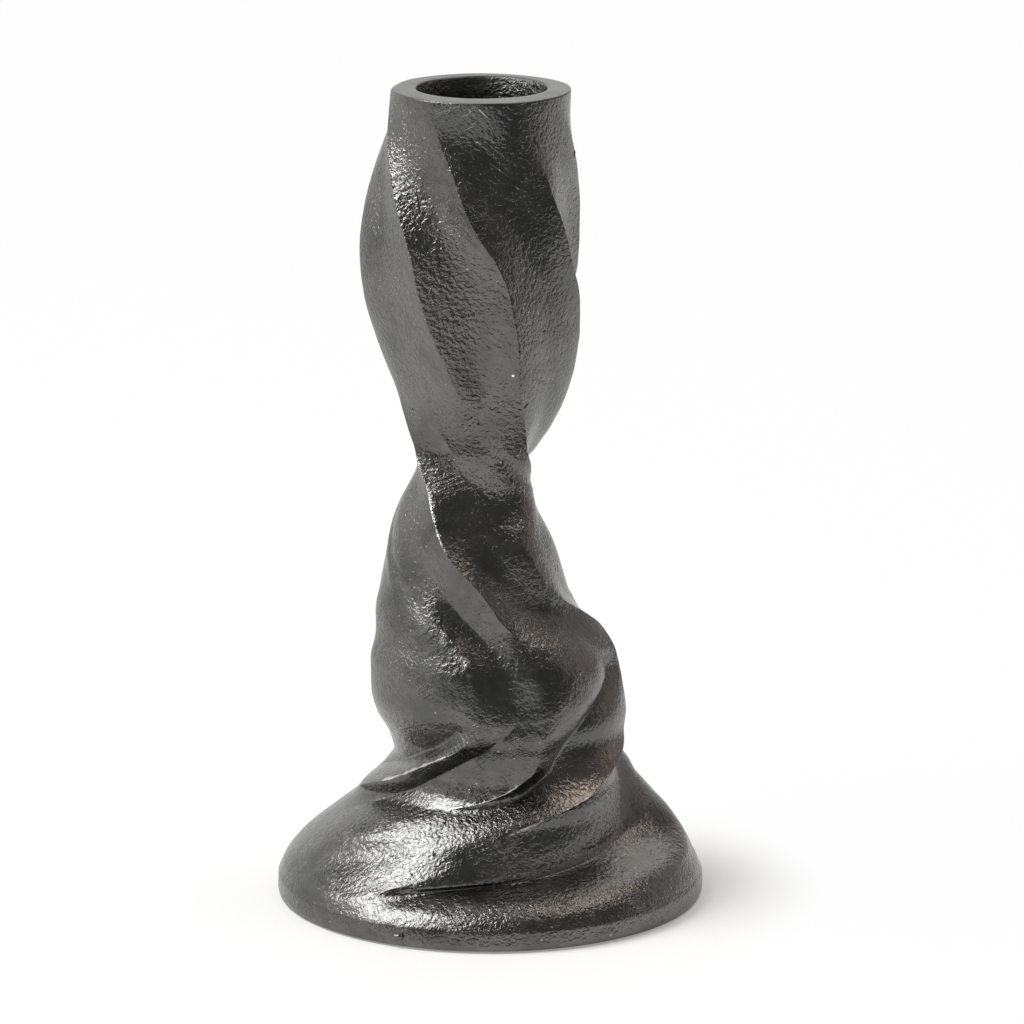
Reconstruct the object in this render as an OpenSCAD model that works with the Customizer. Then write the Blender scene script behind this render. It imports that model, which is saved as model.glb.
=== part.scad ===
// Twisted candle holder, one metal casting with a felt pad under its foot.
// The form is a stack of fluted rings. Seven crests run down the stem like
// the folds of a wrung cloth, turn back at the skirt and sweep across the foot.
// Millimetres, +Z up, +X to the viewer's right, -Y to the front.
// The origin is the middle of the underside of the felt pad.

/* [Overall] */
// Height from the table to the rim of the cup
body_h = 160; // [130:1:200]
// Radius of the round foot at its widest
foot_r = 42; // [38:0.5:52]

/* [Candle cup] */
// Radius of the bore that takes a dinner candle
bore_r = 12.5; // [10.5:0.25:13]
// Depth of the bore below the rim
bore_depth = 28; // [20:1:36]
// How far the bore sits to the left of the middle of the foot
bore_left = 1.6; // [0:0.1:2.4]
// Width of the small break of edge at the mouth of the bore
bore_break = 0.4; // [0.2:0.1:0.8]
// Height of the drill cone at the bottom of the bore
bore_cone_h = 3.5; // [1:0.5:5]

/* [Underside] */
// Width of the metal land between the foot's edge and its shallow recess
foot_land = 6; // [4:0.5:9]
// Depth of that recess
recess_depth = 1.8; // [1.2:0.1:3]
// Gap between the felt pad and the wall of its recess
pad_gap = 0.7; // [0.3:0.1:1.5]
// Thickness of the felt pad
pad_t = 2; // [1.4:0.1:3]
// Thickness of the adhesive film that holds the pad
film_t = 0.2; // [0.1:0.05:0.4]
// How far the film's edge stays inside the pad's edge
film_inset = 0.5; // [0.2:0.1:2]

/* [Hidden] */

// The recess lands on the film and the film on the pad, so the pad's
// underside is what the holder stands on.
casting_base = pad_t + film_t - recess_depth;
casting_h = body_h - casting_base;
recess_r = foot_r - foot_land;
pad_r = recess_r - pad_gap;
// A cut runs this far past the face that it opens
overrun = 0.5;
// Sides that a round face is drawn with
round_sides = 96;

// Rings up the form, and steps from a crest to the hollow beside it
ring_count = 96;
crest_steps = 4;
crest_count = 7;
half_turn = 180;
full_turn = 360;
// How fast a sharp crest falls away
cusp_power = 1.8;
// More of the rings lie in the lower part, where the folds run flat
ring_crowding = 1.25;

// Middle of each ring: share of height, then shares of the foot's radius
// to the right and to the back
centre_shares = [
    [0, 0, 0], [0.04, 0.002, 0], [0.06, 0.015, 0], [0.08, 0.033, 0], [0.1, 0.052, 0],
    [0.14, 0.075, 0], [0.175, 0.093, 0], [0.21, 0.071, 0], [0.26, 0.031, 0], [0.325, 0, 0],
    [0.375, -0.069, 0], [0.44, -0.088, 0], [0.48, -0.102, 0], [0.53, -0.078, 0],
    [0.575, -0.05, 0], [0.625, -0.035, 0], [0.69, -0.057, 0], [0.74, -0.081, 0], [0.8, -0.093, 0],
    [0.875, -0.074, 0], [0.94, -0.055, 0], [1, -0.04, -0.029]];

// Reach of the crests: share of height, share of the foot's radius
reach_shares = [
    [0, 0.99], [0.006, 0.997], [0.022, 0.995], [0.029, 0.984], [0.036, 0.974], [0.046, 0.952],
    [0.06, 0.917], [0.08, 0.855], [0.1, 0.795], [0.125, 0.703], [0.15, 0.617], [0.175, 0.555],
    [0.2, 0.55], [0.23, 0.581], [0.255, 0.59], [0.3, 0.576], [0.33, 0.531], [0.355, 0.486],
    [0.38, 0.444], [0.405, 0.419], [0.43, 0.395], [0.455, 0.364], [0.48, 0.328], [0.505, 0.297],
    [0.53, 0.271], [0.555, 0.281], [0.58, 0.323], [0.605, 0.362], [0.63, 0.395], [0.655, 0.429],
    [0.68, 0.457], [0.705, 0.48], [0.75, 0.503], [0.8, 0.507], [0.85, 0.497], [0.9, 0.469],
    [0.94, 0.44], [0.97, 0.422], [1, 0.412]];

// One table a crest, from the foot up: share of height, angle from the
// front towards the right, lift as a share of the reach, sharpness
crest_a_shares = [
    [0, -170, 0, 0], [0.06, -150, 0, 0], [0.09, -120, -0.02, 0.1], [0.112, -102, -0.04, 0.3],
    [0.13, -88, 0, 0.6], [0.144, -77, 0.07, 0.7], [0.158, -65, 0.07, 0.6],
    [0.186, -44, 0.07, 0.5], [0.216, -21, 0.07, 0.5], [0.24, -11, 0.04, 0.4],
    [0.265, -7, 0.01, 0.3], [0.285, -8, -0.005, 0.6], [0.305, -10, -0.015, 0.8],
    [0.33, -13, -0.03, 0.8], [0.35, -19, -0.04, 0.8], [0.365, -26, -0.05, 0.6],
    [0.38, -33, -0.06, 0.3], [0.395, -42, -0.07, 0.2], [0.41, -55, -0.07, 0.1],
    [0.425, -70, -0.05, 0.1], [0.445, -84, -0.03, 0.1], [0.47, -92, -0.01, 0.2],
    [0.5, -98, 0, 0.3], [0.53, -106, 0, 0.4], [0.575, -120, 0, 0.5], [0.625, -126, 0, 0.6],
    [0.75, -130, 0, 0.8], [0.875, -140, 0, 0.8], [0.94, -154, 0, 0.6], [1, -172, 0, 0.3]];
crest_b_shares = [
    [0, -110, 0, 0], [0.06, -80, 0, 0], [0.1, -58, 0, 0], [0.12, -47, -0.03, 0.2],
    [0.131, -34, -0.08, 0.7], [0.139, -27, -0.12, 1], [0.149, -12, -0.12, 1],
    [0.163, 0, -0.07, 1], [0.186, 12, -0.02, 1], [0.23, 20, 0.01, 0.8], [0.25, 22, 0, 0.3],
    [0.27, 24, 0, 0], [0.325, 22, 0, 0.1], [0.35, 19, 0.01, 0.6], [0.37, 14, 0.04, 0.9],
    [0.403, 5, 0.09, 1], [0.444, -13, 0.1, 1], [0.484, -27, 0.06, 1], [0.506, -36, 0.06, 1],
    [0.525, -46, 0.1, 1], [0.55, -60, 0.13, 1], [0.575, -69, 0.06, 1], [0.6, -78, 0.02, 1],
    [0.625, -84, 0, 0.9], [0.656, -86, -0.015, 0.7], [0.72, -84, -0.02, 0.7],
    [0.78, -85, -0.005, 0.7], [0.84, -90, 0, 0.7], [0.89, -97, 0, 0.7], [0.94, -108, 0, 0.5],
    [1, -128, 0, 0.3]];
crest_c_shares = [
    [0, -60, 0, 0], [0.035, -46, -0.01, 0.1], [0.054, -35, -0.04, 0.4], [0.077, -19, -0.09, 0.9],
    [0.099, -9, -0.11, 1], [0.118, 2, -0.105, 1], [0.133, 17, -0.08, 1], [0.149, 40, -0.06, 1],
    [0.163, 54, -0.04, 1], [0.182, 72, -0.01, 1], [0.206, 86, 0, 1], [0.24, 91, 0, 0.9],
    [0.29, 93, 0, 0.8], [0.33, 94, 0, 0.8], [0.355, 83, 0, 0.8], [0.38, 66, 0, 0.7],
    [0.405, 54, 0, 0.5], [0.43, 47, 0, 0.3], [0.45, 46, 0, 0.1], [0.465, 52, 0, 0],
    [0.48, 66, 0, 0], [0.495, 76, 0, 0], [0.508, 76, 0, 0], [0.52, 60, -0.02, 0],
    [0.535, 38, -0.06, 0], [0.555, 18, -0.1, 0], [0.575, 3, -0.09, 0], [0.6, -8, -0.06, 0.2],
    [0.638, -14, 0, 0.6], [0.69, -20, 0, 0.9], [0.763, -27, 0, 1], [0.813, -32, 0, 1],
    [0.875, -47, 0, 1], [0.922, -62, 0, 0.9], [0.953, -74, 0, 0.8], [1, -86, 0, 0.6]];
crest_d_shares = [
    [0, 40, 0, 0], [0.03, 58, 0, 0], [0.05, 76, 0, 0], [0.07, 90, 0.005, 0], [0.09, 99, -0.01, 0],
    [0.113, 106, -0.03, 0.1], [0.13, 110, -0.03, 0.2], [0.15, 114, 0, 0.4], [0.188, 124, 0, 0.7],
    [0.238, 134, 0, 0.8], [0.3, 136, 0, 0.8], [0.345, 122, 0, 0.6], [0.37, 108, 0, 0.5],
    [0.39, 101, 0, 0.5], [0.413, 98, 0, 0.5], [0.44, 97, 0, 0.5], [0.465, 104, 0, 0.4],
    [0.49, 116, 0, 0.3], [0.51, 112, 0, 0.3], [0.53, 84, 0, 0.6], [0.58, 42, 0, 0.8],
    [0.65, 25, 0, 0.8], [0.713, 24, 0, 1], [0.77, 21, 0, 1], [0.806, 15, 0, 1], [0.838, 5, 0, 1],
    [0.875, -5, 0, 1], [0.913, -13, 0, 0.9], [0.944, -22, 0, 0.7], [1, -36, 0, 0.2]];
crest_e_shares = [
    [0, 70, 0, 0], [0.06, 105, 0, 0], [0.113, 138, 0, 0.4], [0.163, 166, 0, 0.8],
    [0.213, 182, 0, 0.9], [0.275, 188, 0, 0.8], [0.338, 180, 0, 0.7], [0.4, 160, 0, 0.7],
    [0.463, 150, 0, 0.7], [0.51, 138, 0, 0.7], [0.535, 118, 0, 0.7], [0.56, 97, 0, 0.7],
    [0.588, 92, 0, 0.7], [0.663, 88, 0, 0.8], [0.75, 80, 0, 1], [0.794, 68, 0, 1],
    [0.838, 59, 0, 1], [0.875, 50, 0, 0.9], [0.919, 41, 0, 0.5], [0.944, 33, 0, 0.3],
    [1, 13, 0, 0.1]];
crest_f_shares = [
    [0, 105, 0, 0], [0.06, 145, 0, 0], [0.113, 180, 0, 0.4], [0.163, 212, 0, 0.8],
    [0.213, 228, 0, 0.9], [0.275, 234, 0, 0.8], [0.338, 228, 0, 0.7], [0.4, 208, 0, 0.7],
    [0.463, 196, 0, 0.7], [0.525, 176, 0, 0.7], [0.588, 150, 0, 0.7], [0.663, 136, 0, 0.8],
    [0.72, 122, 0, 1], [0.75, 112, 0, 1], [0.78, 102, 0, 1], [0.82, 96, 0, 1], [0.875, 94, 0, 1],
    [0.938, 79, 0, 0.8], [1, 56, 0, 0.5]];
crest_g_shares = [
    [0, 150, 0, 0], [0.06, 185, 0, 0], [0.113, 218, 0, 0.4], [0.163, 250, 0, 0.8],
    [0.185, 262, 0, 0.8], [0.213, 272, 0, 0.5], [0.275, 284, 0.01, 0.4], [0.338, 280, 0.01, 0.3],
    [0.4, 266, 0, 0.4], [0.463, 252, 0, 0.5], [0.525, 226, 0, 0.7], [0.588, 202, 0, 0.7],
    [0.663, 188, 0, 0.8], [0.75, 176, 0, 1], [0.813, 164, 0, 1], [0.875, 150, 0, 1],
    [0.938, 128, 0, 0.8], [1, 108, 0, 0.5]];

// One table a hollow: share of height, where it lies between its two
// crests, its depth as a share of the reach, and how sharp its bottom is
hollow_a_shares = [
    [0, 0.5, 0, 0], [0.075, 0.5, 0, 0], [0.1, 0.45, 0.02, 0.3], [0.125, 0.4, 0.06, 0.6],
    [0.15, 0.3, 0.12, 0.8], [0.175, 0.24, 0.08, 0.9], [0.2, 0.27, 0.06, 0.9],
    [0.228, 0.38, 0.05, 0.8], [0.25, 0.55, 0.05, 0.6], [0.28, 0.5, 0.06, 0.1],
    [0.3, 0.45, 0.08, 0.1], [0.325, 0.45, 0.11, 0.2], [0.35, 0.45, 0.13, 0.4],
    [0.37, 0.45, 0.13, 0.3], [0.39, 0.45, 0.11, 0.1], [0.42, 0.5, 0.1, 0], [0.47, 0.5, 0.1, 0],
    [0.505, 0.5, 0.12, 0], [0.54, 0.5, 0.12, 0], [0.58, 0.5, 0.1, 0], [0.75, 0.5, 0.12, 0],
    [0.938, 0.5, 0.06, 0], [1, 0.5, 0.01, 0]];
hollow_b_shares = [
    [0, 0.5, 0, 0], [0.1, 0.5, 0.01, 0], [0.12, 0.45, 0.02, 0.3], [0.132, 0.4, 0.04, 0.7],
    [0.143, 0.34, 0.07, 0.9], [0.16, 0.25, 0.12, 0.9], [0.186, 0.22, 0.17, 0.9],
    [0.213, 0.28, 0.18, 0.9], [0.235, 0.42, 0.17, 0.9], [0.252, 0.6, 0.16, 0.9],
    [0.268, 0.78, 0.14, 0.9], [0.285, 0.88, 0.11, 0.8], [0.31, 0.78, 0.1, 0.4],
    [0.34, 0.6, 0.11, 0.1], [0.375, 0.48, 0.13, 0], [0.42, 0.45, 0.15, 0], [0.47, 0.45, 0.17, 0],
    [0.505, 0.45, 0.22, 0], [0.53, 0.45, 0.22, 0], [0.555, 0.45, 0.22, 0.2],
    [0.58, 0.45, 0.18, 0.4], [0.605, 0.5, 0.15, 0.3], [0.63, 0.5, 0.13, 0.2],
    [0.66, 0.5, 0.12, 0], [0.75, 0.5, 0.12, 0], [0.875, 0.5, 0.12, 0], [0.938, 0.5, 0.08, 0],
    [1, 0.5, 0.02, 0]];
hollow_c_shares = [
    [0, 0.5, 0, 0], [0.025, 0.25, 0.005, 0], [0.038, 0.12, 0.02, 0.2], [0.048, 0.11, 0.05, 0.3],
    [0.056, 0.16, 0.12, 0.4], [0.063, 0.38, 0.21, 0.3], [0.07, 0.57, 0.26, 0.1],
    [0.079, 0.67, 0.27, 0], [0.092, 0.7, 0.25, 0], [0.11, 0.69, 0.21, 0],
    [0.135, 0.69, 0.17, 0.1], [0.169, 0.7, 0.15, 0.2], [0.206, 0.6, 0.14, 0.2],
    [0.281, 0.5, 0.12, 0], [0.375, 0.5, 0.06, 0], [0.45, 0.5, 0.04, 0], [0.485, 0.5, 0.02, 0],
    [0.51, 0.5, 0.02, 0], [0.535, 0.5, 0.08, 0.2], [0.56, 0.5, 0.11, 0.2], [0.625, 0.5, 0.11, 0],
    [0.75, 0.5, 0.12, 0], [0.875, 0.5, 0.12, 0], [0.938, 0.5, 0.08, 0], [1, 0.5, 0.02, 0]];
hollow_rear_shares = [
    [0, 0.5, 0, 0], [0.05, 0.5, 0, 0], [0.088, 0.5, 0.025, 0.2], [0.125, 0.5, 0.08, 0.4],
    [0.175, 0.45, 0.15, 0.5], [0.238, 0.4, 0.17, 0.4], [0.3, 0.45, 0.1, 0], [0.375, 0.5, 0.15, 0],
    [0.469, 0.5, 0.18, 0], [0.538, 0.5, 0.16, 0], [0.625, 0.5, 0.13, 0], [0.75, 0.5, 0.13, 0],
    [0.85, 0.5, 0.12, 0], [0.9, 0.5, 0.08, 0], [0.938, 0.5, 0.045, 0], [0.975, 0.5, 0.015, 0],
    [1, 0.5, 0.005, 0]];
hollow_g_shares = [
    [0, 0.5, 0, 0], [0.075, 0.5, 0, 0], [0.095, 0.5, 0.02, 0], [0.112, 0.5, 0.03, 0],
    [0.13, 0.45, 0.04, 0.1], [0.15, 0.4, 0.06, 0.3], [0.168, 0.52, 0.1, 0.5],
    [0.185, 0.68, 0.12, 0.5], [0.204, 0.78, 0.12, 0.5], [0.221, 0.84, 0.11, 0.5],
    [0.237, 0.88, 0.07, 0.4], [0.255, 0.75, 0.02, 0], [0.28, 0.5, 0.01, 0], [0.3, 0.5, 0.01, 0],
    [0.36, 0.5, 0, 0], [0.4, 0.5, -0.01, 0], [0.43, 0.5, -0.02, 0], [0.48, 0.5, -0.03, 0],
    [0.505, 0.5, -0.02, 0], [0.535, 0.5, 0.06, 0], [0.563, 0.5, 0.14, 0], [0.625, 0.5, 0.13, 0],
    [0.75, 0.5, 0.13, 0], [0.875, 0.5, 0.12, 0], [0.938, 0.5, 0.08, 0], [1, 0.5, 0.02, 0]];

crests = [
    crest_a_shares, crest_b_shares, crest_c_shares, crest_d_shares,
    crest_e_shares, crest_f_shares, crest_g_shares];
hollows = [
    hollow_a_shares, hollow_b_shares, hollow_c_shares, hollow_rear_shares,
    hollow_rear_shares, hollow_rear_shares, hollow_g_shares];

// Row of the table at or below this height share
function row_at(table, at, i = 0) =
    i < len(table) - 2 && at >= table[i + 1][0] ? row_at(table, at, i + 1) : i;
// Rise of one column between two rows
function rise(table, col, i) =
    (table[i + 1][col] - table[i][col]) / (table[i + 1][0] - table[i][0]);
// Slope that a column passes through a row with, never past its neighbours
function slope(table, col, i) =
    i <= 0 ? rise(table, col, 0)
    : i >= len(table) - 1 ? rise(table, col, len(table) - 2)
    : let(below = rise(table, col, i - 1), above = rise(table, col, i))
      below * above <= 0 ? 0 : 2 * below * above / (below + above);
// Smooth value of one column at a height share
function value(table, col, at) =
    let(
        i = row_at(table, at),
        span = table[i + 1][0] - table[i][0],
        t = (at - table[i][0]) / span,
        tt = t * t,
        ttt = tt * t
    )
    (2 * ttt - 3 * tt + 1) * table[i][col]
    + (ttt - 2 * tt + t) * span * slope(table, col, i)
    + (3 * tt - 2 * ttt) * table[i + 1][col]
    + (ttt - tt) * span * slope(table, col, i + 1);

// How much of a crest is left on the way into the hollow
function falling(t, sharp, crease) =
    sharp * crease * (1 - t)
    + sharp * (1 - crease) * pow(1 - t, cusp_power)
    + (1 - sharp) * crease * (1 - pow(t, cusp_power))
    + (1 - sharp) * (1 - crease) * pow(cos(half_turn / 2 * t), 2);

// Angle, radius and sharpness of every crest at a height share
function crest_row(at) =
    let(reach = foot_r * value(reach_shares, 1, at))
    [for (i = [0:crest_count])
        let(table = crests[i % crest_count])
        [
            value(table, 1, at) + (i == crest_count ? full_turn : 0),
            reach * (1 + value(table, 2, at)),
            value(table, 3, at)
        ]];

// Points of one ring, counted from the first crest round to the last hollow
function ring(at) =
    let(
        row = crest_row(at),
        x = foot_r * value(centre_shares, 1, at),
        y = foot_r * value(centre_shares, 2, at),
        z = casting_base + casting_h * at
    )
    [for (i = [0:crest_count - 1])
        let(
            from = row[i],
            to = row[i + 1],
            bias = value(hollows[i], 1, at),
            depth = value(hollows[i], 2, at),
            crease = value(hollows[i], 3, at),
            low_a = from[0] + (to[0] - from[0]) * bias,
            low_r = (from[1] + (to[1] - from[1]) * bias) * (1 - depth)
        )
        for (k = [0:2 * crest_steps - 1])
            let(
                down = k < crest_steps,
                t = down ? k / crest_steps : 2 - k / crest_steps,
                crest = down ? from : to,
                a = low_a + (crest[0] - low_a) * (1 - t),
                r = low_r + (crest[1] - low_r) * falling(t, crest[2], crease)
            )
            [x + r * sin(a), y - r * cos(a), z]];

ring_shares = [for (i = [0:ring_count]) pow(i / ring_count, ring_crowding)];
around = 2 * crest_steps * crest_count;

// Skin of the casting before the bore and the recess are cut
module folded_form() {
    rings = [for (at = ring_shares) ring(at)];
    skin = [for (one = rings) for (p = one) p];
    low_middle = len(skin);
    top_middle = low_middle + 1;
    middles = [
        [foot_r * centre_shares[0][1], foot_r * centre_shares[0][2], casting_base],
        [-bore_left, 0, body_h]];
    walls = [for (i = [0:ring_count - 1]) for (j = [0:around - 1])
        let(
            a = i * around + j,
            b = i * around + (j + 1) % around,
            c = b + around,
            d = a + around
        )
        each [[a, d, b], [b, d, c]]];
    base_fan = [for (j = [0:around - 1]) [low_middle, j, (j + 1) % around]];
    top_fan = [for (j = [0:around - 1])
        let(start = ring_count * around)
        [top_middle, start + (j + 1) % around, start + j]];
    polyhedron(points = concat(skin, middles), faces = concat(walls, base_fan, top_fan));
}

// Straight bore with a broken edge at its mouth and a drill cone below
module candle_bore() {
    floor_z = body_h - bore_depth;
    translate([-bore_left, 0, floor_z])
        cylinder(h = bore_depth + overrun, r = bore_r, $fn = round_sides);
    translate([-bore_left, 0, floor_z - bore_cone_h])
        cylinder(h = bore_cone_h, r1 = 0, r2 = bore_r, $fn = round_sides);
    translate([-bore_left, 0, body_h - bore_break])
        cylinder(
            h = bore_break + overrun,
            r1 = bore_r,
            r2 = bore_r + bore_break + overrun,
            $fn = round_sides);
}

// Shallow round pocket in the underside of the foot
module pad_recess() {
    translate([0, 0, casting_base - overrun])
        cylinder(h = recess_depth + overrun, r = recess_r, $fn = round_sides);
}

module cast_body() {
    color("dimgray")
        difference() {
            folded_form();
            candle_bore();
            pad_recess();
        }
}

module adhesive_film() {
    color("khaki")
        translate([0, 0, pad_t])
            cylinder(h = film_t, r = pad_r - film_inset, $fn = round_sides);
}

module felt_pad() {
    color("darkslategray")
        cylinder(h = pad_t, r = pad_r, $fn = round_sides);
}

cast_body();
adhesive_film();
felt_pad();
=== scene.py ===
"""Twisted candle holder: a blackened casting on a felt pad, in a pale studio.

The casting repeats the fold tables of the CAD part at a finer pitch, so its
ridges stay crisp, and adds the uneven skin, file marks and casting nub that
the solids leave out. All lengths are metres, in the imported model's frame.
"""

import logging
import math
from dataclasses import dataclass
from enum import Enum
from functools import cached_property

import bmesh
import bpy
import numpy as np
from bmesh.types import BMesh, BMFace, BMVert
from bpy.types import ID, Material, Node, NodeSocket, NodeTree, Object
from mathutils import Matrix, Vector, noise


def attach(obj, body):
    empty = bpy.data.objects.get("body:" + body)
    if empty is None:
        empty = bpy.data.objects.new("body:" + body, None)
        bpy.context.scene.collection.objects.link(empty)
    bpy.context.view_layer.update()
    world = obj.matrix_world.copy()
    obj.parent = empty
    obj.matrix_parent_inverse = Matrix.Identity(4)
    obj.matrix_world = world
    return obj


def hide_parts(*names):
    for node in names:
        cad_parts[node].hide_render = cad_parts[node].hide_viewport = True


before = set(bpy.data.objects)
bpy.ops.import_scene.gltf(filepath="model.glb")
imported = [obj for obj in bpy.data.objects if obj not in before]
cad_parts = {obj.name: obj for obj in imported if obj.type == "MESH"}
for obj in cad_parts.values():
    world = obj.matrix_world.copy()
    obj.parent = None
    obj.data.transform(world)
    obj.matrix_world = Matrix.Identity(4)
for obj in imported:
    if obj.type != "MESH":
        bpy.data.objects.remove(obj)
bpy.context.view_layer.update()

WEAR_AND_GLINT = "wear_and_glint"
MM = 0.001
WHITE = (1, 1, 1, 1)
Pair = tuple[float, float]
Triple = tuple[float, float, float]
Colour = tuple[float, float, float, float]
log = logging.getLogger("candle_holder")


# Fold tables: heights and radii as shares, angles in degrees

# Height share, then the ring's middle to the right and to the back, as
# shares of the foot's radius.
CENTRE_SHARES = (
    (0, 0), (0.04, 0.002), (0.06, 0.015), (0.08, 0.033), (0.1, 0.052), (0.14, 0.075),
    (0.175, 0.093), (0.21, 0.071), (0.26, 0.031), (0.325, 0), (0.375, -0.069), (0.44, -0.088),
    (0.48, -0.102), (0.53, -0.078), (0.575, -0.05), (0.625, -0.035), (0.69, -0.057),
    (0.74, -0.081), (0.8, -0.093), (0.875, -0.074), (0.94, -0.055), (1, -0.04, -0.029),
)
# Height share, reach of the crests as a share of the foot's radius.
REACH_SHARES = (
    (0, 0.99), (0.006, 0.997), (0.022, 0.995), (0.029, 0.984), (0.036, 0.974), (0.046, 0.952),
    (0.06, 0.917), (0.08, 0.855), (0.1, 0.795), (0.125, 0.703), (0.15, 0.617), (0.175, 0.555),
    (0.2, 0.55), (0.23, 0.581), (0.255, 0.59), (0.3, 0.576), (0.33, 0.531), (0.355, 0.486),
    (0.38, 0.444), (0.405, 0.419), (0.43, 0.395), (0.455, 0.364), (0.48, 0.328), (0.505, 0.297),
    (0.53, 0.271), (0.555, 0.281), (0.58, 0.323), (0.605, 0.362), (0.63, 0.395), (0.655, 0.429),
    (0.68, 0.457), (0.705, 0.48), (0.75, 0.503), (0.8, 0.507), (0.85, 0.497), (0.9, 0.469),
    (0.94, 0.44), (0.97, 0.422), (1, 0.412),
)
# One table a crest: height share, angle from the front towards the right,
# sharpness, lift as a share of the reach.
CREST_SHARES = (
    ((0, -170), (0.06, -150), (0.09, -120, 0.1, -0.02), (0.112, -102, 0.3, -0.04),
     (0.13, -88, 0.6), (0.144, -77, 0.7, 0.07), (0.158, -65, 0.6, 0.07), (0.186, -44, 0.5, 0.07),
     (0.216, -21, 0.5, 0.07), (0.24, -11, 0.4, 0.04), (0.265, -7, 0.3, 0.01),
     (0.285, -8, 0.6, -0.005), (0.305, -10, 0.8, -0.015), (0.33, -13, 0.8, -0.03),
     (0.35, -19, 0.8, -0.04), (0.365, -26, 0.6, -0.05), (0.38, -33, 0.3, -0.06),
     (0.395, -42, 0.2, -0.07), (0.41, -55, 0.1, -0.07), (0.425, -70, 0.1, -0.05),
     (0.445, -84, 0.1, -0.03), (0.47, -92, 0.2, -0.01), (0.5, -98, 0.3), (0.53, -106, 0.4),
     (0.575, -120, 0.5), (0.625, -126, 0.6), (0.75, -130, 0.8), (0.875, -140, 0.8),
     (0.94, -154, 0.6), (1, -172, 0.3)),
    ((0, -110), (0.06, -80), (0.1, -58), (0.12, -47, 0.2, -0.03), (0.131, -34, 0.7, -0.08),
     (0.139, -27, 1, -0.12), (0.149, -12, 1, -0.12), (0.163, 0, 1, -0.07), (0.186, 12, 1, -0.02),
     (0.23, 20, 0.8, 0.01), (0.25, 22, 0.3), (0.27, 24), (0.325, 22, 0.1), (0.35, 19, 0.6, 0.01),
     (0.37, 14, 0.9, 0.04), (0.403, 5, 1, 0.09), (0.444, -13, 1, 0.1), (0.484, -27, 1, 0.06),
     (0.506, -36, 1, 0.06), (0.525, -46, 1, 0.1), (0.55, -60, 1, 0.13), (0.575, -69, 1, 0.06),
     (0.6, -78, 1, 0.02), (0.625, -84, 0.9), (0.656, -86, 0.7, -0.015), (0.72, -84, 0.7, -0.02),
     (0.78, -85, 0.7, -0.005), (0.84, -90, 0.7), (0.89, -97, 0.7), (0.94, -108, 0.5),
     (1, -128, 0.3)),
    ((0, -60), (0.035, -46, 0.1, -0.01), (0.054, -35, 0.4, -0.04), (0.077, -19, 0.9, -0.09),
     (0.099, -9, 1, -0.11), (0.118, 2, 1, -0.105), (0.133, 17, 1, -0.08), (0.149, 40, 1, -0.06),
     (0.163, 54, 1, -0.04), (0.182, 72, 1, -0.01), (0.206, 86, 1), (0.24, 91, 0.9),
     (0.29, 93, 0.8), (0.33, 94, 0.8), (0.355, 83, 0.8), (0.38, 66, 0.7), (0.405, 54, 0.5),
     (0.43, 47, 0.3), (0.45, 46, 0.1), (0.465, 52), (0.48, 66), (0.495, 76), (0.508, 76),
     (0.52, 60, 0, -0.02), (0.535, 38, 0, -0.06), (0.555, 18, 0, -0.1), (0.575, 3, 0, -0.09),
     (0.6, -8, 0.2, -0.06), (0.638, -14, 0.6), (0.69, -20, 0.9), (0.763, -27, 1), (0.813, -32, 1),
     (0.875, -47, 1), (0.922, -62, 0.9), (0.953, -74, 0.8), (1, -86, 0.6)),
    ((0, 40), (0.03, 58), (0.05, 76), (0.07, 90, 0, 0.005), (0.09, 99, 0, -0.01),
     (0.113, 106, 0.1, -0.03), (0.13, 110, 0.2, -0.03), (0.15, 114, 0.4), (0.188, 124, 0.7),
     (0.238, 134, 0.8), (0.3, 136, 0.8), (0.345, 122, 0.6), (0.37, 108, 0.5), (0.39, 101, 0.5),
     (0.413, 98, 0.5), (0.44, 97, 0.5), (0.465, 104, 0.4), (0.49, 116, 0.3), (0.51, 112, 0.3),
     (0.53, 84, 0.6), (0.58, 42, 0.8), (0.65, 25, 0.8), (0.713, 24, 1), (0.77, 21, 1),
     (0.806, 15, 1), (0.838, 5, 1), (0.875, -5, 1), (0.913, -13, 0.9), (0.944, -22, 0.7),
     (1, -36, 0.2)),
    ((0, 70), (0.06, 105), (0.113, 138, 0.4), (0.163, 166, 0.8), (0.213, 182, 0.9),
     (0.275, 188, 0.8), (0.338, 180, 0.7), (0.4, 160, 0.7), (0.463, 150, 0.7), (0.51, 138, 0.7),
     (0.535, 118, 0.7), (0.56, 97, 0.7), (0.588, 92, 0.7), (0.663, 88, 0.8), (0.75, 80, 1),
     (0.794, 68, 1), (0.838, 59, 1), (0.875, 50, 0.9), (0.919, 41, 0.5), (0.944, 33, 0.3),
     (1, 13, 0.1)),
    ((0, 105), (0.06, 145), (0.113, 180, 0.4), (0.163, 212, 0.8), (0.213, 228, 0.9),
     (0.275, 234, 0.8), (0.338, 228, 0.7), (0.4, 208, 0.7), (0.463, 196, 0.7), (0.525, 176, 0.7),
     (0.588, 150, 0.7), (0.663, 136, 0.8), (0.72, 122, 1), (0.75, 112, 1), (0.78, 102, 1),
     (0.82, 96, 1), (0.875, 94, 1), (0.938, 79, 0.8), (1, 56, 0.5)),
    ((0, 150), (0.06, 185), (0.113, 218, 0.4), (0.163, 250, 0.8), (0.185, 262, 0.8),
     (0.213, 272, 0.5), (0.275, 284, 0.4, 0.01), (0.338, 280, 0.3, 0.01), (0.4, 266, 0.4),
     (0.463, 252, 0.5), (0.525, 226, 0.7), (0.588, 202, 0.7), (0.663, 188, 0.8), (0.75, 176, 1),
     (0.813, 164, 1), (0.875, 150, 1), (0.938, 128, 0.8), (1, 108, 0.5)),
)
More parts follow.
